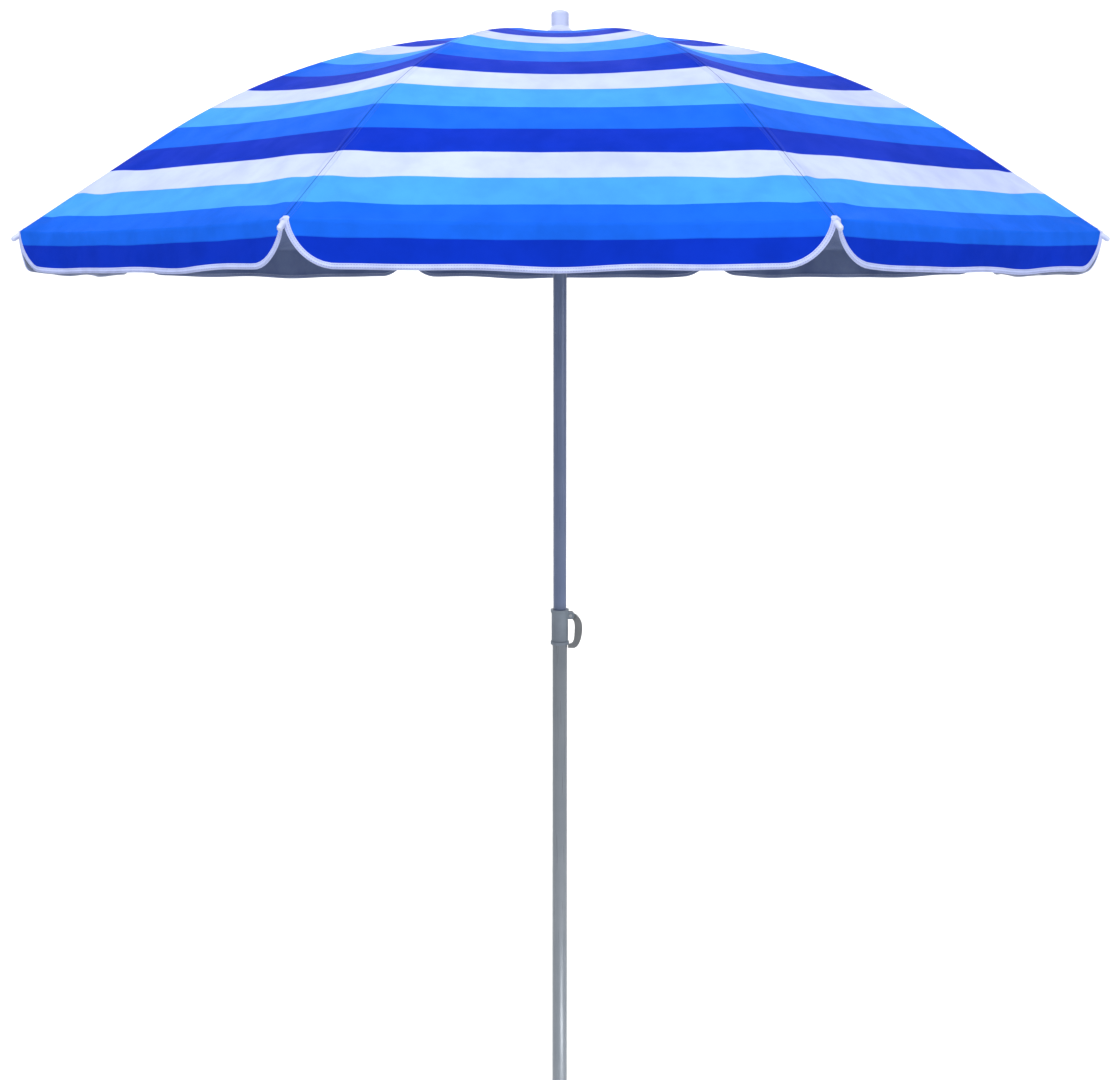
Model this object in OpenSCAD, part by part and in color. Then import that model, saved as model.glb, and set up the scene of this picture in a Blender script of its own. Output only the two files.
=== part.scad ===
/* [Pole] */
// Outside diameter of the lower pole
lower_d = 25; // [24:0.5:27]
// Wall of the lower pole
lower_wall = 0.8; // [0.7:0.1:1.5]
// Outside diameter of the upper pole
upper_d = 22; // [20:0.5:22]
// Wall of the upper pole
upper_wall = 0.6; // [0.5:0.1:1.2]
// Height of the collar's top face, with the point of the spike at 0
collar_top = 1076; // [900:1:1200]
// Length of the upper pole that is inside the lower part at rest
insertion = 240; // [180:1:300]
// Height of the spike's cone
spike_h = 70; // [40:1:120]

/* [Collar and lever] */
// Height of the collar
collar_h = 59; // [50:1:80]
// Outside diameter of the collar's body
collar_d = 28; // [28:0.5:32]
// Outside diameter of the collar's rims
collar_rim_d = 31; // [31:0.5:36]
// Distance of the lever's pin from the pole's axis
lever_pin_x = 18; // [18:0.5:20]
// Reach of the lever's bar from the pole's axis
lever_reach = 37.4; // [34:0.1:42]
// Width of the lever's bar, seen from the side
lever_w = 11; // [8:0.5:14]

/* [Frame] */
// Height of the ring wire that the ribs turn on
crown_z = 1993.5; // [1900:0.5:2100]
// Radius of the crown's ring wire
crown_ring_r = 16; // [15:0.5:18]
// Radius of the runner's ring wire
runner_ring_r = 18; // [17:0.5:20]
// Distance of the runner's ring wire below the crown's
runner_drop = 242; // [220:1:260]
// Distance along a rib from the crown's ring wire to its joint with the stretcher
rib_joint = 360; // [330:1:380]
// Width of a rib's channel
rib_w = 4.4; // [4:0.1:5]
// Height of a rib's channel
rib_h = 4; // [3.5:0.1:4.5]
// Wall of a rib's channel
rib_wall = 0.6; // [0.5:0.1:0.8]
// Diameter of a stretcher's rod
stretcher_d = 3.6; // [3:0.1:4]

/* [Canopy] */
// Distance from the pole's axis to a corner of the canopy
canopy_r = 830; // [700:5:1000]
// Slope of a rib at the crown, in degrees below level
slope_top = 5; // [3:0.5:8]
// Slope of a rib at its tip, in degrees below level
slope_tip = 34; // [30:0.5:38]
// Straight length of a rib at the crown
rib_flat = 134; // [100:1:160]
// Radius that the middle of a rib is bent to
rib_bend = 1016; // [900:1:1100]
// Height of the hanging valance
valance_h = 55; // [30:1:80]
// Half of the width of the notch in the valance at each rib
notch_w = 60; // [30:1:90]
// How far the rim sags between two ribs
rim_sag = 5; // [0:0.5:15]
// How far the cloth dips between two ribs half-way down
mid_sag = 12; // [0:0.5:20]
// Thickness of the canopy's solid
cloth_t = 1.2; // [1:0.1:1.5]

/* [Hidden] */
ribs = 8;
RIBS = [for (k = [1 : ribs]) k];
HARDWARE = ["ground_spike", "lower_pole", "height_collar", "lever_pin", "lock_lever", "upper_pole",
    "pole_end_bush", "crown_hub", "crown_ring", "crown_pin", "crown_patch", "finial", "runner",
    "runner_ring", "catch_spring"];

$fn = 64;
fit = 0.05;       // radial clearance of a pin or shaft in its bore
eps = 0.01;
sector = 360 / ribs;
half = sector / 2;
plastic = [0.50, 0.55, 0.60];
white_plastic = [0.88, 0.89, 0.93];
steel = [0.72, 0.74, 0.76];
paint = [0.52, 0.57, 0.63];
cloth = [0.16, 0.42, 0.92];

// the poles
collar_low = collar_top - collar_h;
lower_r = lower_d / 2;
lower_bore = lower_r - lower_wall;
upper_r = upper_d / 2;
upper_bore = upper_r - upper_wall;
plug_l = 40;
seat_r = lower_r - 0.4;
neck_low = collar_low - 12;
neck_bore = upper_r + 0.4;
guide_bore = upper_r + 0.15;
pole_seat = 23;                            // the collar's depth of socket for the lower pole
upper_foot = collar_top - insertion;
upper_top = crown_z + 20.5;
bush_h = 12;

// the crown
wire_r = 1;
eye_r = 3;
eye_bore = 1.2;
tongue_t = 2.4;
slot_w = 3.2;
hub_r = 19;
hub_top = crown_z + 3;
hub_low = crown_z - 4.5;
hub_foot = crown_z - 17.5;
crown_pin_z = crown_z - 11.5;
patch_z = crown_z + 4.9;
patch_r = 24;
finial_z = patch_z + 1.2;

// the runner
runner_z = crown_z - runner_drop;
runner_r = 14.5;
runner_bore = upper_r + 0.3;
runner_low = runner_z - 51.5;
runner_top = runner_z + 13.5;
flange_r = runner_ring_r + 3.5;
flange_h = 9;

// the catch below the runner
nose_top = runner_low - 0.3;
nose_h = 13;
nose_r = 14.2;
leaf_l = 70;
leaf_t = 0.8;
leaf_w = 4;

// the collar and its lever
rim_h = 5;
lever_pin_z = collar_top - 10;
lever_pin_r = 1.5;
cam_r = 5.8;
cam_off = 1;
head_w = 7;
cheek_t = 3;
cheek_r = 6;
window_w = head_w + 0.6;

// ---- the curve of a rib, in its own upright plane, as [distance from the axis, height] ----
rib_start = [crown_ring_r, crown_z];
bend_end = rib_flat + rib_bend * (slope_tip - slope_top) * PI / 180;
function along(slope) = [cos(slope), -sin(slope)];
function across(slope) = [sin(slope), cos(slope)];
function slope_at(s) = s < rib_flat ? slope_top
    : min(slope_tip, slope_top + (s - rib_flat) / rib_bend * 180 / PI);
flat_end = rib_start + rib_flat * along(slope_top);
bend_middle = flat_end - rib_bend * across(slope_top);
bend_tip = bend_middle + rib_bend * across(slope_tip);
function rib_at(s) = s <= rib_flat ? rib_start + s * along(slope_top)
    : s <= bend_end ? bend_middle + rib_bend * across(slope_at(s))
    : bend_tip + (s - bend_end) * along(slope_tip);
cloth_lift = 4.8;                          // from a rib's centre line up to the canopy's outer face
function cloth_at(s) = rib_at(s) + cloth_lift * across(slope_at(s));
cloth_start = 5;
cloth_end = bend_end + (canopy_r - bend_tip[0] - cloth_lift * sin(slope_tip)) / cos(slope_tip);
rib_end = cloth_end + 9;

// ---- the linkage ----
joint_drop = 0.4;                          // the rivet sits a little below the channel's centre
joint_pt = rib_at(rib_joint) - joint_drop * across(slope_at(rib_joint));
runner_pt = [runner_ring_r, runner_z];
stretcher_l = norm(joint_pt - runner_pt);
stretcher_rise = atan2(joint_pt[1] - runner_pt[1], joint_pt[0] - runner_pt[0]);

// ---- the canopy ----
half_rim = canopy_r * sin(half) * cos(half);
edge_gap = 0.35;
function depth_at(x) = x < 7 ? 1.5 : valance_h * pow(1 - pow(1 - min(1, x / notch_w), 2), 0.6);
stations = concat([cloth_start], [for (i = [1 : 2]) rib_flat * i / 2],
    [for (i = [1 : 10]) rib_flat + (bend_end - rib_flat) * i / 10],
    [for (i = [1 : 2]) bend_end + (cloth_end - bend_end) * i / 2]);
COLUMNS = [0, 0.022, 0.065, 0.13, 0.2, 0.55, 1];

function share_at(s, c) = let (edge = edge_gap / (cloth_at(s)[0] * sin(half) * cos(half)))
    edge + (1 - 2 * edge) * COLUMNS[c];
sag_end = 700;
function sag_at(s, v) = rim_sag * pow(s / cloth_end, 6) * (1 - pow(1 - v, 2))
    + mid_sag * pow(max(0, sin(180 * min(1, s / sag_end))), 1.1) * v * v * (3 - 2 * v);
function panel_pt(s, v) = let (p = cloth_at(s))
    [p[0] * (1 - v * pow(sin(half), 2)), v * p[0] * sin(half) * cos(half), p[1] - sag_at(s, v)];
// the valance is thickened inwards, without crossing the seam or the middle line
function inward(c) = [-(1 - COLUMNS[c] * pow(sin(half), 2)) / cos(half), -COLUMNS[c] * sin(half), 0];
function outer_row(s) = [for (c = [0 : len(COLUMNS) - 1]) panel_pt(s, share_at(s, c))];
function hung_row(f) = [for (c = [0 : len(COLUMNS) - 1])
    let (v = share_at(cloth_end, c)) panel_pt(cloth_end, v) - [0, 0, f * depth_at(v * half_rim)]];
outer_rows = concat([for (s = stations) outer_row(s)], [for (f = [0.5, 1]) hung_row(f)]);
function drop_at(row, c) = row < len(stations) - 1 ? [0, 0, -cloth_t]
    : row == len(stations) - 1 ? [0, 0, -cloth_t] + cloth_t * inward(c)
    : cloth_t * inward(c);
rows = len(stations) + 2;
cols = len(COLUMNS);
panel_points = concat(
    [for (r = [0 : rows - 1]) for (p = outer_rows[r]) p],
    [for (r = [0 : rows - 1]) for (c = [0 : cols - 1]) outer_rows[r][c] + drop_at(r, c)]);
function id(layer, r, c) = layer * rows * cols + r * cols + c;
function two(a, b, c, d) = [[a, b, c], [a, c, d]];
function skin(layer) = [for (r = [0 : rows - 2]) for (c = [0 : cols - 2])
    for (t = layer == 0
        ? two(id(0, r, c), id(0, r, c + 1), id(0, r + 1, c + 1), id(0, r + 1, c))
        : two(id(1, r, c), id(1, r + 1, c), id(1, r + 1, c + 1), id(1, r, c + 1))) t];
function side_walls() = [for (r = [0 : rows - 2]) for (t = concat(
    two(id(0, r, 0), id(0, r + 1, 0), id(1, r + 1, 0), id(1, r, 0)),
    two(id(0, r, cols - 1), id(1, r, cols - 1), id(1, r + 1, cols - 1), id(0, r + 1, cols - 1)))) t];
function end_walls() = [for (c = [0 : cols - 2]) for (t = concat(
    two(id(0, 0, c), id(1, 0, c), id(1, 0, c + 1), id(0, 0, c + 1)),
    two(id(0, rows - 1, c), id(0, rows - 1, c + 1), id(1, rows - 1, c + 1), id(1, rows - 1, c)))) t];

// ---- helpers ----
function rib_azimuth(k) = half + sector * (k - 1);
function bezier(a, b, c, d, n) = [for (i = [0 : n]) let (t = i / n, u = 1 - t)
    u * u * u * a + 3 * u * u * t * b + 3 * u * t * t * c + t * t * t * d];

module tube(r_out, r_in, low, high) {
    translate([0, 0, low]) difference() {
        cylinder(r = r_out, h = high - low);
        translate([0, 0, -eps]) cylinder(r = r_in, h = high - low + 2 * eps);
    }
}

// a round bar across the plane of a rib, at [distance from the axis, height]
module cross_bar(at, r, w) {
    translate([at[0], 0, at[1]]) rotate([90, 0, 0]) cylinder(r = r, h = w, center = true, $fn = 32);
}

module ring(at, r) {
    rotate_extrude($fn = 96) translate(at) circle(r = r, $fn = 24);
}

// eight slots that ribs or stretchers turn in
module rib_slots(r_in, r_out, low, high) {
    for (k = RIBS) rotate([0, 0, rib_azimuth(k)])
        translate([r_in, -slot_w / 2, low]) cube([r_out - r_in, slot_w, high - low]);
}

// ---- the lower part ----
module ground_spike() {
    color(plastic) difference() {
        union() {
            cylinder(r1 = 1.5, r2 = lower_r, h = spike_h);
            translate([0, 0, spike_h - eps]) cylinder(r = lower_bore - fit, h = plug_l);
        }
        translate([0, 0, spike_h + 6]) cylinder(r = lower_bore - 3, h = plug_l);
    }
}

// its top end is drawn down to sit in the collar
module lower_pole() {
    color(paint) difference() {
        union() {
            translate([0, 0, spike_h]) cylinder(r = lower_r, h = collar_low - spike_h);
            translate([0, 0, collar_low - eps]) cylinder(r = seat_r, h = pole_seat + eps);
        }
        translate([0, 0, spike_h - eps]) cylinder(r = lower_bore, h = neck_low - spike_h + eps);
        translate([0, 0, neck_low - eps]) cylinder(r = neck_bore, h = collar_h);
    }
}

module collar_cheeks() {
    for (side = [-1, 1]) translate([0, side * (window_w + cheek_t) / 2, 0]) {
        cross_bar([lever_pin_x, lever_pin_z], cheek_r, cheek_t);
        translate([upper_r + 1, -cheek_t / 2, lever_pin_z - cheek_r])
            cube([lever_pin_x - upper_r - 1, cheek_t, 2 * cheek_r]);
    }
}

module height_collar() {
    color(plastic) difference() {
        union() {
            translate([0, 0, collar_low]) cylinder(d = collar_d, h = collar_h);
            translate([0, 0, collar_low]) cylinder(d = collar_rim_d, h = rim_h);
            translate([0, 0, collar_top - rim_h]) cylinder(d = collar_rim_d, h = rim_h);
            collar_cheeks();
        }
        translate([0, 0, collar_low - eps]) cylinder(r = seat_r, h = pole_seat + eps);
        translate([0, 0, collar_low]) cylinder(r = guide_bore, h = collar_h + 1);
        translate([0, -window_w / 2, lever_pin_z - 9]) cube([lever_pin_x + cheek_r + 1, window_w, 30]);
        cross_bar([lever_pin_x, lever_pin_z], lever_pin_r, 30);
    }
}

module lever_pin() {
    color(steel) {
        cross_bar([lever_pin_x, lever_pin_z], lever_pin_r, window_w + 2 * cheek_t + 1);
        for (side = [-1, 1]) translate([0, side * (window_w / 2 + cheek_t + 0.5), 0])
            cross_bar([lever_pin_x, lever_pin_z], 2.6, 1);
    }
}

// outline of the lever, as [distance from the axis, height]: down the outside and up the inside
lever_foot_z = collar_low - 5.8;
lever_outline = concat(
    bezier([lever_pin_x + 1, lever_pin_z + 4.5], [lever_reach - 9, lever_pin_z + 2.5],
        [lever_reach, lever_pin_z - 8], [lever_reach, lever_pin_z - 20], 10),
    bezier([lever_reach, lever_pin_z - 21], [lever_reach, lever_foot_z + 16],
        [lever_reach - 6, lever_foot_z], [lower_r + 10, lever_foot_z - 0.4], 10),
    [[lower_r + 1, lever_foot_z], [lower_r + 1, collar_low - 0.7], [lower_r + 3.6, collar_low - 0.7]],
    bezier([lower_r + 4.8, collar_low - 0.2], [lower_r + 9, collar_low + 1.5],
        [lever_reach - 13.6, collar_low + 4], [lever_reach - 13.2, collar_low + 16], 8),
    bezier([lever_reach - 12.8, collar_low + 24], [lever_reach - 12.2, collar_low + 40],
        [lever_pin_x + 4.5, lever_pin_z - 6], [lever_pin_x - 1, lever_pin_z - 5.2], 8));

module lever_plate(w) {
    rotate([90, 0, 0]) linear_extrude(height = w, center = true) polygon(lever_outline);
}

module lock_lever() {
    color(plastic) difference() {
        union() {
            cross_bar([lever_pin_x - cam_off, lever_pin_z], cam_r, head_w);
            lever_plate(head_w);
            difference() {
                lever_plate(lever_w);
                cross_bar([lever_pin_x, lever_pin_z], cheek_r + 3, lever_w + 1);
            }
        }
        cross_bar([lever_pin_x, lever_pin_z], lever_pin_r + fit, lever_w + 1);
    }
}

// ---- the upper part ----
module upper_pole() {
    color(paint) difference() {
        tube(upper_r, upper_bore, upper_foot, upper_top);
        translate([upper_bore - 3, -leaf_w / 2 - 0.4, nose_top - nose_h - 0.8])
            cube([6, leaf_w + 0.8, nose_h + 1.6]);
        translate([0, 0, crown_pin_z]) rotate([90, 0, 0]) cylinder(r = 1.5, h = 40, center = true);
    }
}

module pole_end_bush() {
    color(white_plastic) difference() {
        union() {
            translate([0, 0, upper_foot - bush_h]) cylinder(r = lower_bore - 0.1, h = bush_h);
            translate([0, 0, upper_foot - eps]) cylinder(r = upper_bore, h = 20);
        }
        translate([0, 0, upper_foot - bush_h - 1]) cylinder(r = upper_bore - 3, h = 40);
    }
}

module crown_hub() {
    color(white_plastic) difference() {
        union() {
            translate([0, 0, hub_low]) cylinder(r = hub_r, h = hub_top - hub_low);
            translate([0, 0, hub_foot]) cylinder(r = 14, h = hub_low - hub_foot + eps);
        }
        translate([0, 0, hub_foot - 1]) cylinder(r = upper_r, h = 40);
        rib_slots(12.6, hub_r + 2, hub_low - 1, hub_top + 1);
        rotate_extrude($fn = 96) translate([crown_ring_r - wire_r - fit, crown_z - wire_r - fit])
            square([2 * (wire_r + fit), 10]);
        translate([0, 0, crown_pin_z]) rotate([90, 0, 0]) cylinder(r = 1.5, h = 40, center = true);
    }
}

module crown_ring() {
    color(steel) ring([crown_ring_r, crown_z], wire_r);
}

module crown_pin() {
    color(steel) translate([0, 0, crown_pin_z]) rotate([90, 0, 0]) {
        cylinder(r = 1.5, h = 29, center = true);
        for (side = [-1, 1]) translate([0, 0, side * 14.6]) cylinder(r = 2.6, h = 1.1, center = true);
    }
}

module crown_patch() {
    color(cloth) tube(patch_r, upper_r + 0.2, patch_z, patch_z + 1);
}

finial_h = 36.2;
finial_r = 14;
dome_h = 7;
module finial() {
    dome = [for (i = [1 : 8]) let (a = i * 90 / 8)
        [finial_r * cos(a), finial_h - dome_h + dome_h * sin(a)]];
    color(white_plastic) difference() {
        translate([0, 0, finial_z]) rotate_extrude()
            polygon(concat([[0, 0], [21, 0], [21, 2.6], [finial_r, 10.6],
                [finial_r, finial_h - dome_h]], dome));
        translate([0, 0, finial_z - eps]) cylinder(r = upper_r, h = upper_top - finial_z + 1);
    }
}

// ---- the runner ----
module runner() {
    color(white_plastic) difference() {
        union() {
            translate([0, 0, runner_low]) cylinder(r = runner_r, h = runner_top - runner_low);
            translate([0, 0, runner_low]) cylinder(r = runner_r + 2, h = 5);
            translate([0, 0, runner_z - flange_h / 2]) cylinder(r = flange_r, h = flange_h);
        }
        translate([0, 0, runner_low - 1]) cylinder(r = runner_bore, h = 90);
        rib_slots(runner_r, flange_r + 2, runner_z - flange_h, runner_z + flange_h);
        rotate_extrude($fn = 96) translate([runner_ring_r - wire_r - fit, runner_z - 10])
            square([2 * (wire_r + fit), 10 + wire_r + fit]);
    }
}

module runner_ring() {
    color(steel) ring([runner_ring_r, runner_z], wire_r);
}

module catch_spring() {
    leaf_x = upper_bore - leaf_t - 0.4;
    color(steel) {
        translate([leaf_x, -leaf_w / 2, nose_top - nose_h - 5])
            cube([leaf_t, leaf_w, leaf_l]);
        rotate([90, 0, 0]) linear_extrude(height = leaf_w, center = true)
            polygon([[leaf_x + leaf_t - eps, nose_top - nose_h], [upper_r, nose_top - nose_h],
                [nose_r, nose_top - 3], [nose_r, nose_top], [leaf_x + leaf_t - eps, nose_top]]);
    }
}

// ---- the ribs and stretchers ----
// the channel's section, with its centre at the origin and its open side towards -X
module channel() {
    difference() {
        translate([-rib_h / 2, -rib_w / 2]) square([rib_h, rib_w]);
        translate([-rib_h / 2 - 1, -rib_w / 2 + rib_wall]) square([rib_h + 1 - rib_wall, rib_w - 2 * rib_wall]);
    }
}

// a straight run of channel from a point on the rib's line
module straight_channel(from, slope, length) {
    translate([from[0], 0, from[1]]) rotate([0, slope, 0]) rotate([0, 90, 0]) rotate([0, 0, 180])
        linear_extrude(height = length) channel();
}

module bent_channel() {
    translate([bend_middle[0], 0, bend_middle[1]]) rotate([90, 0, 0]) rotate([0, 0, 90 - slope_tip])
        rotate_extrude(angle = slope_tip - slope_top, $fn = 360) translate([rib_bend, 0]) channel();
}

module rib(k) {
    tongue = 26;
    channel_start = 14;
    color(steel) rotate([0, 0, rib_azimuth(k)]) difference() {
        union() {
            cross_bar(rib_start, eye_r, tongue_t);
            translate([rib_start[0], 0, rib_start[1]]) rotate([0, slope_top, 0])
                translate([0, -tongue_t / 2, -1.3]) cube([tongue, tongue_t, 3]);
            straight_channel(rib_at(channel_start), slope_top, rib_flat - channel_start);
            bent_channel();
            straight_channel(rib_at(bend_end), slope_tip, rib_end - bend_end);
        }
        cross_bar(rib_start, eye_bore, 10);
        cross_bar(joint_pt, wire_r, 10);
    }
}

module rib_tip(k) {
    tip_l = 14;
    cap_r = 3.7;
    from = rib_at(cloth_end + 0.6);
    color(white_plastic) rotate([0, 0, rib_azimuth(k)]) difference() {
        translate([from[0], 0, from[1]]) rotate([0, 90 + slope_tip, 0]) {
            cylinder(r = cap_r, h = tip_l - 3);
            translate([0, 0, tip_l - 3 - eps]) cylinder(r1 = cap_r, r2 = 2.2, h = 3);
        }
        straight_channel(rib_at(bend_end), slope_tip, rib_end - bend_end + eps);
    }
}

module stretcher(k) {
    plate_t = rib_w - 2 * rib_wall - 0.8;
    plate_l = 15;
    plate_h = 2.8;
    outer_r = 1.6;
    color(steel) rotate([0, 0, rib_azimuth(k)]) {
        difference() {
            union() {
                translate([runner_pt[0], 0, runner_pt[1]]) rotate([0, -stretcher_rise, 0]) {
                    translate([plate_l, 0, 0]) rotate([0, 90, 0])
                        cylinder(d = stretcher_d, h = stretcher_l - 2 * plate_l);
                    translate([0, -plate_t / 2, -plate_h / 2]) cube([plate_l + 2, plate_t, plate_h]);
                    translate([stretcher_l - plate_l - 2, -plate_t / 2, -plate_h / 2])
                        cube([plate_l + 2, plate_t, plate_h]);
                }
                cross_bar(runner_pt, 2.6, plate_t);
                cross_bar(joint_pt, outer_r, plate_t);
            }
            cross_bar(runner_pt, eye_bore, 10);
        }
        // the rivet in its outer eye, which turns in the rib
        cross_bar(joint_pt, wire_r - fit, rib_w + 1.2);
        for (side = [-1, 1]) translate([0, side * (rib_w / 2 + 0.35), 0]) cross_bar(joint_pt, 1.7, 0.5);
    }
}

// ---- the canopy ----
module panel_half(k, side) {
    color(cloth) rotate([0, 0, rib_azimuth(k)]) mirror([0, side < 0 ? 1 : 0, 0])
        polyhedron(points = panel_points, faces = concat(skin(0), skin(1), side_walls(), end_walls()));
}

ground_spike();
lower_pole();
height_collar();
lever_pin();
lock_lever();
upper_pole();
pole_end_bush();
crown_hub();
crown_ring();
crown_pin();
crown_patch();
finial();
runner();
runner_ring();
catch_spring();
for (k = RIBS) {
    rib(k);
    rib_tip(k);
    stretcher(k);
    panel_half(k, -1);
    panel_half(k, 1);
}
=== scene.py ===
import math

import bmesh
import bpy
import numpy as np
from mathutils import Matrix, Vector


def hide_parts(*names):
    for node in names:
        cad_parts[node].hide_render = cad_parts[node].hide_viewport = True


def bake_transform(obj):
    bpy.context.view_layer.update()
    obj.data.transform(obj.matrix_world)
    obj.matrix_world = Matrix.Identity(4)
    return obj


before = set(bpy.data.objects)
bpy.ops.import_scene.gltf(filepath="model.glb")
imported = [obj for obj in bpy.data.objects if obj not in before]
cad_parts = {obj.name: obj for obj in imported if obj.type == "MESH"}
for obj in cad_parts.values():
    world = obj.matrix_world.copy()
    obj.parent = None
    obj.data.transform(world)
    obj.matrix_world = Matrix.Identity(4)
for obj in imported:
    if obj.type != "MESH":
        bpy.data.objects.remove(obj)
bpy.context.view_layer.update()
RIBS = range(1, 9)
HALF = math.radians(22.5)
SIN, COS = math.sin(HALF), math.cos(HALF)


# ---------------------------------------------------------------- camera
# in front of the umbrella at about the height of its hem, for a frame of 1110 x 1080
camera_data = bpy.data.cameras.new("camera")
camera_data.lens = 53.5
camera_data.sensor_width = 36.0
camera = bpy.data.objects.new("camera", camera_data)
bpy.context.scene.collection.objects.link(camera)
camera.location = (0.0, -2.69, 1.606)
camera.rotation_euler = (math.radians(81.25), 0.0, math.radians(0.17))
bpy.context.scene.camera = camera


# ---------------------------------------------------------------- colours and materials
def linear(r, g, b):
    """A colour given as 0-255 screen values, as linear light."""
    def one(c):
        c = c / 255
        return c / 12.92 if c <= 0.04045 else ((c + 0.055) / 1.055) ** 2.4
    return (one(r), one(g), one(b), 1.0)


WHITE = linear(184, 196, 240)
LIGHT = linear(66, 150, 245)
MEDIUM = linear(22, 96, 222)
DARK = linear(6, 46, 180)
BINDING = linear(188, 199, 244)
COATING = linear(92, 108, 146)


class Nodes:
    """Short calls for building a material's node tree, in the object's own coordinates."""

    def __init__(self, name):
        self.material = bpy.data.materials.new(name)
        self.material.use_nodes = True
        self.tree = self.material.node_tree
        self.shader = self.tree.nodes["Principled BSDF"]
        self.coords = self.tree.nodes.new("ShaderNodeTexCoord").outputs["Object"]

    def link(self, a, b):
        self.tree.links.new(a, b)

    def set(self, socket, value):
        if isinstance(value, bpy.types.NodeSocket):
            self.link(value, socket)
        else:
            socket.default_value = value

    def math(self, kind, a, b=0.0, c=0.0):
        n = self.tree.nodes.new("ShaderNodeMath")
        n.operation = kind
        for socket, value in zip(n.inputs, (a, b, c)):
            self.set(socket, value)
        return n.outputs[0]

    def mix(self, share, a, b):
        n = self.tree.nodes.new("ShaderNodeMix")
        n.data_type = "RGBA"
        self.set(n.inputs["Factor"], share)
        self.set(n.inputs["A"], a)
        self.set(n.inputs["B"], b)
        return n.outputs["Result"]

    def shade(self, colour, factor):
        n = self.tree.nodes.new("ShaderNodeVectorMath")
        n.operation = "SCALE"
        self.link(colour, n.inputs[0])
        self.set(n.inputs["Scale"], factor)
        return n.outputs[0]

    def noise(self, scale, detail=3.0, vector=None, rough=0.55):
        n = self.tree.nodes.new("ShaderNodeTexNoise")
        n.inputs["Scale"].default_value = scale
        n.inputs["Detail"].default_value = detail
        n.inputs["Roughness"].default_value = rough
        self.link(vector or self.coords, n.inputs["Vector"])
        return n.outputs["Fac"]

    def ramp(self, value, low, high, to_low=0.0, to_high=1.0):
        n = self.tree.nodes.new("ShaderNodeMapRange")
        n.interpolation_type = "SMOOTHSTEP"
        self.set(n.inputs["Value"], value)
        limits = {"From Min": low, "From Max": high, "To Min": to_low, "To Max": to_high}
        for key, v in limits.items():
            n.inputs[key].default_value = v
        return n.outputs["Result"]

    def bump(self, height, distance, strength=1.0, after=None):
        n = self.tree.nodes.new("ShaderNodeBump")
        n.inputs["Distance"].default_value = distance
        n.inputs["Strength"].default_value = strength
        self.link(height, n.inputs["Height"])
        if after:
            self.link(after, n.inputs["Normal"])
        return n.outputs["Normal"]

    def uv(self, name):
        """A UV map as a vector, and its two parts."""
        n = self.tree.nodes.new("ShaderNodeUVMap")
        n.uv_map = name
        s = self.tree.nodes.new("ShaderNodeSeparateXYZ")
        self.link(n.outputs["UV"], s.inputs[0])
        return n.outputs["UV"], s.outputs["X"], s.outputs["Y"]

    def set_shader(self, **values):
        for key, value in values.items():
            self.set(self.shader.inputs[key.replace("_", " ")], value)


STRIPE = 0.055         # width of a stripe on the cloth
STRIPE_FOLD = 0.0185   # the medium stripe reaches this far down over the rim's fold
BIND_W = 0.007         # width of the hem's tape
BIND_EDGE = 0.0002     # softness of the tape's edge
BIND_STITCH = 0.0015   # from the tape's upper edge to its row of stitches
THREAD = 0.0011        # spacing of the weave


def weave(m, uv, size, depth):
    """Threads that cross, as a bump."""
    waves = []
    for direction in ("X", "Y"):
        w = m.tree.nodes.new("ShaderNodeTexWave")
        w.wave_type = "BANDS"
        w.bands_direction = direction
        w.inputs["Scale"].default_value = 1 / size / math.tau * math.pi
        w.inputs["Distortion"].default_value = 0.6
        w.inputs["Detail"].default_value = 1.0
        m.link(uv, w.inputs["Vector"])
        waves.append(w.outputs["Fac"])
    return m.bump(m.math("MULTIPLY", waves[0], waves[1]), depth)


def stitches(m, across, along, at, pitch=0.0032, width=0.00055):
    """A row of stitches at a distance from an edge: 1 on a thread, 0 beside it."""
    near = m.math("ABSOLUTE", m.math("SUBTRACT", across, at))
    row = m.ramp(near, width * 0.5, width, 1.0, 0.0)
    place = m.math("FRACT", m.math("DIVIDE", along, pitch))
    step = m.math("ABSOLUTE", m.math("SUBTRACT", place, 0.5))
    return m.math("MULTIPLY", row, m.ramp(step, 0.28, 0.36, 1.0, 0.0))


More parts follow.
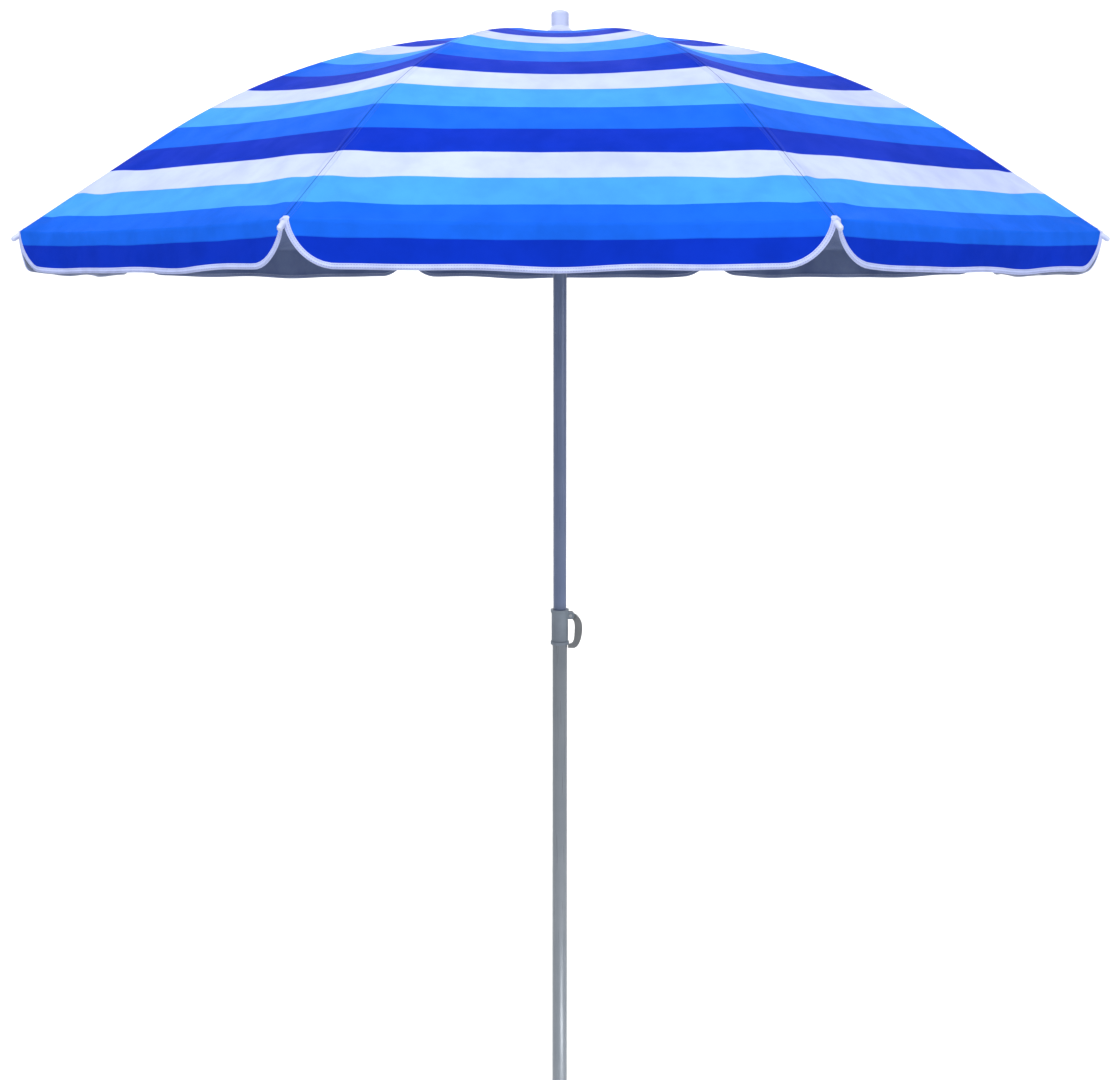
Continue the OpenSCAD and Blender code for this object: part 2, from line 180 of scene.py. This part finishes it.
def canopy_material():
    """Printed stripes across each panel, with mottling, a weave and stitched seams."""
    m = Nodes("canopy_outer")
    uv, _, along = m.uv("cloth")
    wander = m.math("MULTIPLY", m.math("SUBTRACT", m.noise(9.0), 0.5), 0.004)
    place = m.math("FLOORED_MODULO", m.math("DIVIDE", m.math("ADD", along, wander), STRIPE), 4.0)
    colour = m.mix(m.ramp(place, 0.985, 1.015), MEDIUM, LIGHT)
    colour = m.mix(m.ramp(place, 1.985, 2.015), colour, WHITE)
    colour = m.mix(m.ramp(place, 2.985, 3.015), colour, DARK)
    colour = m.mix(m.ramp(place, 3.985, 4.0), colour, MEDIUM)
    colour = m.mix(m.ramp(place, 0.0, 0.015, 1.0, 0.0), colour, m.mix(0.5, DARK, MEDIUM))
    # the print is a little uneven, and the creases of storage show
    mottle = m.noise(28.0, 4.0)
    colour = m.shade(colour, m.ramp(mottle, 0.3, 0.75, 1.05, 0.92))
    colour = m.shade(colour, m.ramp(m.noise(5.0, 2.0), 0.35, 0.7, 1.03, 0.93))
    _, seam_x, _ = m.uv("edges")
    # two rows of stitches beside each seam, and a dark line in it
    thread = m.math("MAXIMUM", stitches(m, seam_x, along, 0.0035),
                    stitches(m, seam_x, along, 0.0065))
    colour = m.mix(m.math("MULTIPLY", thread, 0.25), colour, linear(110, 140, 235))
    colour = m.mix(m.ramp(seam_x, 0.0002, 0.0014, 0.55, 0.0), colour, linear(5, 14, 70))
    # the white tape round the hem, sewn down twice
    _, hem_x, hem_y = m.uv("hem")
    tape = m.ramp(hem_x, BIND_W - BIND_EDGE, BIND_W + BIND_EDGE, 1.0, 0.0)
    sewn = m.math("MAXIMUM", stitches(m, hem_x, hem_y, BIND_W - BIND_STITCH),
                  stitches(m, hem_x, hem_y, 0.0022))
    tape_colour = m.mix(m.ramp(m.noise(45.0), 0.35, 0.7), BINDING, linear(176, 187, 232))
    tape_colour = m.mix(m.math("MULTIPLY", sewn, 0.5), tape_colour, linear(120, 130, 185))
    colour = m.mix(tape, colour, tape_colour)
    m.set_shader(Base_Color=colour, Roughness=m.ramp(mottle, 0.3, 0.7, 0.74, 0.84))
    m.set_shader(Specular_IOR_Level=0.04)
    normal = weave(m, uv, THREAD, 0.00012)
    normal = m.bump(m.noise(60.0, 4.0), 0.0005, 0.6, normal)
    raised = m.math("ADD", m.ramp(seam_x, 0.007, 0.0085, 1.0, 0.0), m.math("MULTIPLY", tape, sewn))
    m.set_shader(Normal=m.bump(m.math("ADD", raised, thread), 0.0004, 1.0, normal))
    return m.material


def coating_material():
    """The silver-grey film on the cloth's inner face."""
    m = Nodes("canopy_inner")
    uv, _, along = m.uv("cloth")
    cloud = m.noise(14.0, 4.0)
    colour = m.mix(m.ramp(cloud, 0.3, 0.7), COATING, linear(76, 92, 132))
    place = m.math("FLOORED_MODULO", m.math("DIVIDE", along, STRIPE), 4.0)
    # the white stripes shine through a little
    through = m.math("MULTIPLY", m.ramp(place, 1.98, 2.02), m.ramp(place, 2.98, 3.02, 0.16, 0.0))
    colour = m.mix(through, colour, linear(170, 180, 205))
    _, hem_x, hem_y = m.uv("hem")
    tape = m.ramp(hem_x, BIND_W - BIND_EDGE, BIND_W + BIND_EDGE, 1.0, 0.0)
    sewn = m.math("MULTIPLY", tape, stitches(m, hem_x, hem_y, BIND_W - BIND_STITCH))
    colour = m.mix(m.math("MULTIPLY", tape, 0.35), colour, linear(128, 140, 172))
    colour = m.mix(m.math("MULTIPLY", sewn, 0.6), colour, linear(190, 198, 225))
    m.set_shader(Base_Color=colour, Roughness=m.ramp(cloud, 0.3, 0.7, 0.42, 0.58), Metallic=0.25)
    normal = m.bump(sewn, 0.0003, 1.0, weave(m, uv, THREAD, 0.0001))
    m.set_shader(Normal=m.bump(m.noise(70.0, 3.0), 0.0004, 0.6, normal))
    return m.material


def plastic(name, colour, shade, rough, grain=0.00006):
    """Moulded plastic: two close shades in clouds, dust, and a fine grain."""
    m = Nodes(name)
    cloud = m.noise(35.0, 3.0)
    dust = m.noise(160.0, 2.0)
    base = m.mix(m.ramp(cloud, 0.3, 0.7), colour, shade)
    base = m.mix(m.ramp(dust, 0.62, 0.8, 0.0, 0.25), base, shade)
    m.set_shader(Base_Color=base, Roughness=m.ramp(cloud, 0.3, 0.7, rough - 0.05, rough + 0.07))
    m.set_shader(Specular_IOR_Level=0.45)
    m.set_shader(Normal=m.bump(m.noise(1400.0, 2.0), grain))
    return m.material


def painted(name, colour, shade):
    """Semi-gloss paint on a drawn tube: faint lines along it, orange peel, small scuffs."""
    m = Nodes(name)
    stretch = m.tree.nodes.new("ShaderNodeMapping")
    stretch.inputs["Scale"].default_value = (1.0, 1.0, 0.02)
    m.link(m.coords, stretch.inputs["Vector"])
    lines = m.noise(420.0, 2.0, stretch.outputs["Vector"])
    cloud = m.noise(12.0, 4.0)
    scuff = m.ramp(m.noise(90.0, 5.0, rough=0.7), 0.66, 0.74)
    base = m.mix(m.ramp(cloud, 0.3, 0.7), colour, shade)
    base = m.mix(m.math("MULTIPLY", scuff, 0.35), base, linear(176, 184, 192))
    rough = m.math("ADD", m.ramp(lines, 0.3, 0.7, 0.27, 0.37), m.math("MULTIPLY", scuff, 0.2))
    m.set_shader(Base_Color=base, Roughness=rough)
    m.set_shader(Coat_Weight=0.2, Coat_Roughness=0.25, Specular_IOR_Level=0.5, Metallic=0.15)
    m.set_shader(Normal=m.bump(m.noise(900.0, 2.0), 0.00002, 1.0, m.bump(lines, 0.00003)))
    return m.material


def metal(name, colour, shade, rough):
    """Plated steel, a little cloudy."""
    m = Nodes(name)
    cloud = m.noise(60.0, 4.0)
    base = m.mix(m.ramp(cloud, 0.35, 0.7), colour, shade)
    m.set_shader(Base_Color=base, Metallic=0.9,
                 Roughness=m.ramp(cloud, 0.3, 0.7, rough - 0.06, rough + 0.1))
    m.set_shader(Normal=m.bump(m.noise(700.0, 3.0), 0.00003))
    return m.material


OUTER = canopy_material()
INNER = coating_material()
LOWER_PAINT = painted("lower_pole_paint", linear(118, 125, 133), linear(110, 118, 127))
# painted reflection: the upper pole's grey is made bluer and lighter, standing in for the blue
# light the canopy throws on it
UPPER_PAINT_AND_REFLECTION = painted("upper_pole_paint_and_reflection", linear(106, 120, 152), linear(98, 113, 146))
GREY = plastic("grey_plastic", linear(124, 135, 147), linear(113, 123, 135), 0.42)
LEVER_GREY = plastic("lever_plastic", linear(116, 119, 122), linear(104, 107, 111), 0.46)
WHITE_PLASTIC = plastic("white_plastic", linear(192, 200, 226), linear(178, 187, 216), 0.38)
STEEL = metal("zinc_steel", linear(176, 180, 186), linear(146, 150, 158), 0.36)
RIB_PAINT = painted("rib_paint", linear(168, 174, 184), linear(150, 157, 168))


def paint_node(node, material):
    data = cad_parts[node].data
    data.materials.clear()
    data.materials.append(material)


NODE_MATERIALS = {
    "lower_pole": LOWER_PAINT,
    "upper_pole": UPPER_PAINT_AND_REFLECTION,
    "lock_lever": LEVER_GREY,
    "ground_spike": GREY,
    "height_collar": GREY,
    "finial": WHITE_PLASTIC,
    "crown_hub": WHITE_PLASTIC,
    "runner": WHITE_PLASTIC,
    "pole_end_bush": WHITE_PLASTIC,
}
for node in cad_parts:
    if node in NODE_MATERIALS:
        paint_node(node, NODE_MATERIALS[node])
    elif node.startswith("rib_tip"):
        paint_node(node, WHITE_PLASTIC)
    elif node.startswith(("rib_", "stretcher")):
        paint_node(node, RIB_PAINT)
    elif not node.startswith("panel") and node != "crown_patch":
        paint_node(node, STEEL)


# ---------------------------------------------------------------- the canopy's surface
CROWN_R, CROWN_Z = 0.016, 1.9935    # where the ribs' line starts
SLOPE_TOP, SLOPE_TIP = math.radians(5), math.radians(34)
FLAT, BEND = 0.134, 1.016           # straight length at the crown, then the bend's radius
LIFT = 0.0048                       # the cloth's outer face over the ribs' line
CORNER_R = 0.83                     # from the axis to a corner of the rim
SAG = 0.005                         # the cloth's dip between the ribs, at the rim
BELLY, BELLY_AT, BELLY_BELOW = 0.013, 0.37, 0.34    # and higher up: depth, place, length below it
VALANCE = 0.055
NOTCH = 0.056                       # the valance's corners are rounded over this width
START = 0.005                       # the cloth starts this far down a rib
CLOTH_T = 0.0005
TAPE_T = 0.0005
HEM_ROWS = 8                        # rows above the rim whose distance to the hem is measured


def down_slope(a):
    return np.array([math.cos(a), -math.sin(a)])


def off_slope(a):
    return np.array([math.sin(a), math.cos(a)])


BEND_END = FLAT + BEND * (SLOPE_TIP - SLOPE_TOP)
RIB_START = np.array([CROWN_R, CROWN_Z])
MIDDLE = RIB_START + FLAT * down_slope(SLOPE_TOP) - BEND * off_slope(SLOPE_TOP)
BEND_TIP = MIDDLE + BEND * off_slope(SLOPE_TIP)


def slope_at(s):
    return SLOPE_TOP if s < FLAT else min(SLOPE_TIP, SLOPE_TOP + (s - FLAT) / BEND)


def cloth_at(s):
    """[distance from the axis, height] of the cloth's outer face over a rib."""
    if s <= FLAT:
        p = RIB_START + s * down_slope(SLOPE_TOP)
    elif s <= BEND_END:
        p = MIDDLE + BEND * off_slope(slope_at(s))
    else:
        p = BEND_TIP + (s - BEND_END) * down_slope(SLOPE_TIP)
    return p + LIFT * off_slope(slope_at(s))


END = BEND_END + (CORNER_R - BEND_TIP[0] - LIFT * math.sin(SLOPE_TIP)) / math.cos(SLOPE_TIP)
HALF_RIM = CORNER_R * SIN * COS


def surface(s, v):
    """The outer face of a half panel: s down the rib, v from the rib (0) to the middle (1)."""
    r, z = cloth_at(s)
    place = s / BELLY_AT if s < BELLY_AT else 1 + min(1.0, (s - BELLY_AT) / BELLY_BELOW)
    power = 2.0 if place < 1 else 1.2
    dip = BELLY * max(0.0, math.sin(math.pi / 2 * place)) ** power + SAG * (s / END) ** 6
    sag = dip * (1 - (1 - v) ** 2)
    return np.array([r * (1 - v * SIN * SIN), v * r * SIN * COS, z - sag])


# stations down a rib
STATIONS = np.concatenate([[START, 0.02, 0.04], np.linspace(0.065, END - 0.02, 62),
                           [END - 0.012, END - 0.006, END - 0.0025, END]])
# shares across a half panel: closer together beside the rib, for the notch, and narrow columns at
# both edges, which keep the shading even up to a seam
BESIDE_RIB = np.array([0, 0.4, 1, 2, 3, 4.5, 6, 8, 10, 12.5,
                       15, 18, 21, 25, 30, 36, 43, 51, 60]) / 1000
ACROSS = np.concatenate([BESIDE_RIB, np.linspace(0.06, HALF_RIM, 23)[1:-1],
                         [HALF_RIM - 0.0003, HALF_RIM]]) / HALF_RIM
HANGING = 16    # rows of the valance


def depth_at(x):
    """The valance's depth beside a rib, with its rounded corner."""
    return VALANCE * (1 - (1 - np.minimum(1, x / NOTCH)) ** 2) ** 0.6


def rim_place(k, side, x):
    """The panel a half panel belongs to, and places along that panel's rim."""
    panel = k if side > 0 else (k - 2) % 8 + 1
    return panel, (x if side > 0 else 2 * HALF_RIM - x)


def hem_depth(k, side, x):
    """The valance's depth, which varies by a few millimetres along a panel."""
    panel, t = rim_place(k, side, x)
    a = np.random.default_rng(300 + panel).uniform(0, math.tau, 2)
    wave = 0.6 * np.sin(math.tau * t / 0.24 + a[0]) + 0.4 * np.sin(math.tau * t / 0.15 + a[1])
    return depth_at(x) * (1 + 0.035 * wave)


# distance down a panel's middle line at each station
mid_line = np.array([surface(s, 1.0) for s in STATIONS])
MID_ARC = np.concatenate([[0], np.cumsum(np.linalg.norm(np.diff(mid_line, axis=0), axis=1))])
MID_LENGTH = MID_ARC[-1]


def smooth(x):
    x = np.clip(x, 0, 1)
    return x * x * (3 - 2 * x)


def half_panel(k, side):
    """One half panel with its rib along +X: points, flat coordinates on the cloth, the drop below
    the rim, and the distances from the rib along the rim."""
    rng = np.random.default_rng(40 * k + (side > 0))
    rows, cols = len(STATIONS) + HANGING, len(ACROSS)
    P = np.zeros((rows, cols, 3))
    cloth = np.zeros((rows, cols, 2))
    for i, s in enumerate(STATIONS):
        for j, v in enumerate(ACROSS):
            P[i, j] = surface(s, v)
            cloth[i, j] = (P[i, j, 1] / COS, MID_LENGTH - MID_ARC[i])
    n = len(STATIONS)
    x = ACROSS * HALF_RIM
    depth = hem_depth(k, side, x)
    shares = np.linspace(0, 1, HANGING + 1)[1:]
    for a, f in enumerate(shares):
        P[n + a] = P[n - 1] - np.outer(f * depth, [0, 0, 1])
        cloth[n + a, :, 0] = cloth[n - 1, :, 0]
        cloth[n + a, :, 1] = -f * depth
    # small uneven pulls of the stitching beside the rib, and between the ribs long shallow waves
    s = np.concatenate([STATIONS, np.full(HANGING, END)])[:, None]
    drop = np.concatenate([np.zeros(n), shares])[:, None] * depth[None, :]
    y = P[:, :, 1]
    near = np.exp(-((y / 0.035) ** 2)) * smooth(y / 0.008)
    lift = np.zeros((rows, cols))
    phase = rng.uniform(0, math.tau, 4)
    for i, wave in enumerate((0.052, 0.083, 0.131, 0.21)):
        lift += 0.00045 * near * np.sin(math.tau * (s + 0.35 * y) / wave + phase[i])
    lift *= smooth(s / 0.2)
    # tension folds run from a rib's tip into the panel
    tip = np.hypot(END - s, y)
    angle = np.arctan2(y, np.maximum(1e-6, END - s))
    at_tip = np.exp(-((tip - 0.11) / 0.10) ** 2)
    lift += 0.0016 * np.sin(7.5 * angle + phase[0]) * at_tip * smooth(y / 0.03)
    # the seam lies a little lower than the cloth beside it
    lift -= 0.0006 * np.exp(-((y / 0.0022) ** 2))
    lift *= smooth((1 - ACROSS[None, :]) / 0.1)
    return P + normals(P) * lift[:, :, None], cloth, drop, x


def normals(P):
    """Unit normals of a grid of points, on the outer side."""
    u = np.gradient(P, axis=0)
    v = np.gradient(P, axis=1)
    N = np.cross(v, u)
    N /= np.maximum(1e-12, np.linalg.norm(N, axis=2))[:, :, None]
    # away from the pole and up
    return np.where(N @ np.array([COS, SIN, 1.0])[:, None] < 0, -N, N)


def hem_points(k, side):
    """The hem on the flat cloth, and the distance along it."""
    x = np.linspace(0, HALF_RIM, 800)
    pts = np.stack([x / COS, hem_depth(k, side, x)], 1)
    run = np.concatenate([[0], np.cumsum(np.linalg.norm(np.diff(pts, axis=0), axis=1))])
    return pts, run


def wave_out(k, side, x, drop):
    """How far the valance stands out from its plane, the same on both sides of a panel's middle."""
    panel, t = rim_place(k, side, x)
    rng = np.random.default_rng(900 + panel)
    a = rng.uniform(0, math.tau, 3)
    wave = 0.5 * np.sin(math.tau * t / 0.197 + a[0]) + 0.3 * np.sin(math.tau * t / 0.117 + a[1])
    wave = wave + 0.2 * np.sin(math.tau * t / 0.071 + a[2])
    ends = smooth(np.minimum(t, 2 * HALF_RIM - t) / 0.05)
    hang = (drop / VALANCE) ** 1.4
    return hang * (0.004 * wave * (0.35 + 0.65 * ends) + 0.002)


def rib_azimuth(k):
    return math.radians(22.5 + 45 * (k - 1))


def side_word(side):
    return "left" if side > 0 else "right"


def build_half(k, side):
    """The mesh of a half panel: two skins of cloth, closed round the edges."""
    name = f"canopy_{k}_{side_word(side)}"
    P, cloth, drop, x = half_panel(k, side)
    rows, cols = P.shape[:2]
    n = len(STATIONS)
    # the valance waves a little
    out = np.array([COS, SIN, 0.0])
    stand = wave_out(k, side, x[None, :], drop)
    P[n:] += stand[n:, :, None] * out
    # distance to the hem, and along it, on the flat cloth
    hem = np.full((rows, cols, 2), 1.0)
    edge_pts, edge_run = hem_points(k, side)
    for i in range(n - HEM_ROWS, rows):
        q = np.stack([cloth[i, :, 0], -cloth[i, :, 1]], 1)
        d = np.linalg.norm(q[:, None, :] - edge_pts[None], axis=2)
        best = d.argmin(1)
        hem[i, :, 0] = d.min(1)
        hem[i, :, 1] = edge_run[best]
    N = normals(P)
    # the tape is thicker than the cloth
    thick = TAPE_T * smooth((BIND_W + 0.001 - hem[:, :, 0]) / 0.0015)
    outer = P + N * thick[:, :, None]
    inner = P - N * (CLOTH_T + thick[:, :, None])
    pts = np.concatenate([outer.reshape(-1, 3), inner.reshape(-1, 3)])
    if side < 0:
        pts[:, 1] *= -1
    az = rib_azimuth(k)
    c, si = math.cos(az), math.sin(az)
    pts = np.stack([pts[:, 0] * c - pts[:, 1] * si, pts[:, 0] * si + pts[:, 1] * c, pts[:, 2]], 1)

    faces, kinds = [], []

    def vid(layer, i, j):
        return layer * rows * cols + i * cols + j

    def add(a, b, c, d, kind):
        faces.append((a, b, c, d) if side < 0 else (d, c, b, a))
        kinds.append(kind)

    for i in range(rows - 1):
        for j in range(cols - 1):
            add(vid(0, i, j), vid(0, i, j + 1), vid(0, i + 1, j + 1), vid(0, i + 1, j), 0)
            add(vid(1, i, j), vid(1, i + 1, j), vid(1, i + 1, j + 1), vid(1, i, j + 1), 1)
    skins = len(faces)
    low, last = rows - 1, cols - 1
    for i in range(rows - 1):
        add(vid(0, i, 0), vid(0, i + 1, 0), vid(1, i + 1, 0), vid(1, i, 0), 0)
        add(vid(0, i, last), vid(1, i, last), vid(1, i + 1, last), vid(0, i + 1, last), 0)
    for j in range(cols - 1):
        add(vid(0, 0, j), vid(1, 0, j), vid(1, 0, j + 1), vid(0, 0, j + 1), 0)
        add(vid(0, low, j), vid(0, low, j + 1), vid(1, low, j + 1), vid(1, low, j), 0)
    mesh = bpy.data.meshes.new(name)
    mesh.from_pydata(pts.tolist(), [], faces)
    mesh.materials.append(OUTER)
    mesh.materials.append(INNER)
    mesh.polygons.foreach_set("material_index", kinds)
    # the skins are smooth and the thin edges flat
    mesh.polygons.foreach_set("use_smooth", [i < skins for i in range(len(faces))])
    # UV maps in metres: the flat cloth, the distance from the seam, and the distance from the hem
    edge = P[:, :, 1].copy()
    edge[n:] = 1.0
    layers = {
        "cloth": np.stack([cloth[:, :, 0] * side, cloth[:, :, 1] + STRIPE_FOLD], 2),
        "edges": np.stack([edge, cloth[:, :, 1]], 2),
        "hem": hem,
    }
    loops = np.zeros(len(mesh.loops), int)
    mesh.loops.foreach_get("vertex_index", loops)
    loops %= rows * cols
    for uv_name, values in layers.items():
        uv = mesh.uv_layers.new(name=uv_name)
        uv.data.foreach_set("uv", values.reshape(-1, 2)[loops].astype(np.float32).ravel())
    obj = bpy.data.objects.new(name, mesh)
    bpy.context.scene.collection.objects.link(obj)
    return obj


def weld(obj):
    """Closes the places where the valance has no depth."""
    bm = bmesh.new()
    bm.from_mesh(obj.data)
    bmesh.ops.dissolve_degenerate(bm, dist=1e-5, edges=bm.edges)
    bmesh.ops.recalc_face_normals(bm, faces=bm.faces)
    bm.to_mesh(obj.data)
    bm.free()


for k in RIBS:
    for side in (1, -1):
        word = side_word(side)
        obj = build_half(k, side)
        weld(obj)
        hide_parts(f"panel_{k}_{word}")
        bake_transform(obj)

patch = Nodes("patch_cloth")
patch_colour = patch.mix(patch.ramp(patch.noise(30.0), 0.35, 0.7), MEDIUM, DARK)
patch.set_shader(Base_Color=patch_colour, Roughness=0.7, Sheen_Weight=0.2)
patch.set_shader(Normal=patch.bump(patch.noise(900.0), 0.0002))
paint_node("crown_patch", patch.material)


# ---------------------------------------------------------------- floor and light
def studio():
    """A pale floor that curves up into a wall behind."""
    paper = Nodes("floor_paper")
    paper.set_shader(Base_Color=(0.88, 0.88, 0.88, 1.0), Roughness=0.9, Specular_IOR_Level=0.2)
    size, back, rise, top, below = 9.0, 6.0, 1.5, 8.0, 0.0005
    profile = [(-size, 0.0), (back - rise, 0.0)]
    for i in range(1, 13):
        a = i / 12 * math.pi / 2
        profile.append((back - rise + rise * math.sin(a), rise - rise * math.cos(a)))
    profile.append((back, top))
    verts, faces = [], []
    for y, z in profile:
        verts += [(-size, y, z - below), (size, y, z - below)]
    for i in range(len(profile) - 1):
        faces.append((2 * i, 2 * i + 1, 2 * i + 3, 2 * i + 2))
    mesh = bpy.data.meshes.new("floor")
    mesh.from_pydata(verts, [], faces)
    mesh.polygons.foreach_set("use_smooth", [True] * len(faces))
    floor = bpy.data.objects.new("floor", mesh)
    mesh.materials.append(paper.material)
    bpy.context.scene.collection.objects.link(floor)


studio()


def area_light(name, at, target, size, power):
    data = bpy.data.lights.new(name, "AREA")
    data.shape = "RECTANGLE"
    data.size, data.size_y = size
    data.energy = power
    light = bpy.data.objects.new(name, data)
    light.location = at
    light.rotation_euler = (Vector(target) - Vector(at)).to_track_quat("-Z", "Y").to_euler()
    bpy.context.scene.collection.objects.link(light)
    return light


area_light("key", (-0.9, -3.0, 4.6), (0, 0, 1.7), (3.0, 2.2), 150)
area_light("fill", (3.2, -2.6, 2.4), (0, 0, 1.5), (2.4, 2.4), 40)
area_light("back", (0.0, 3.2, 4.2), (0, 0, 1.7), (3.0, 1.5), 60)
low = area_light("low", (0.35, -0.55, 0.06), (0, 0, 0.12), (0.5, 0.1), 2.2)
low.visible_camera = False
area_light("wall", (0.0, 2.6, 4.5), (0, 6.0, 1.2), (6.0, 1.5), 200)

world = bpy.data.worlds.new("studio")
world.use_nodes = True
world.node_tree.nodes["Background"].inputs["Color"].default_value = (1, 1, 1, 1)
world.node_tree.nodes["Background"].inputs["Strength"].default_value = 0.62
bpy.context.scene.world = world
bpy.context.scene.view_settings.view_transform = "Standard"
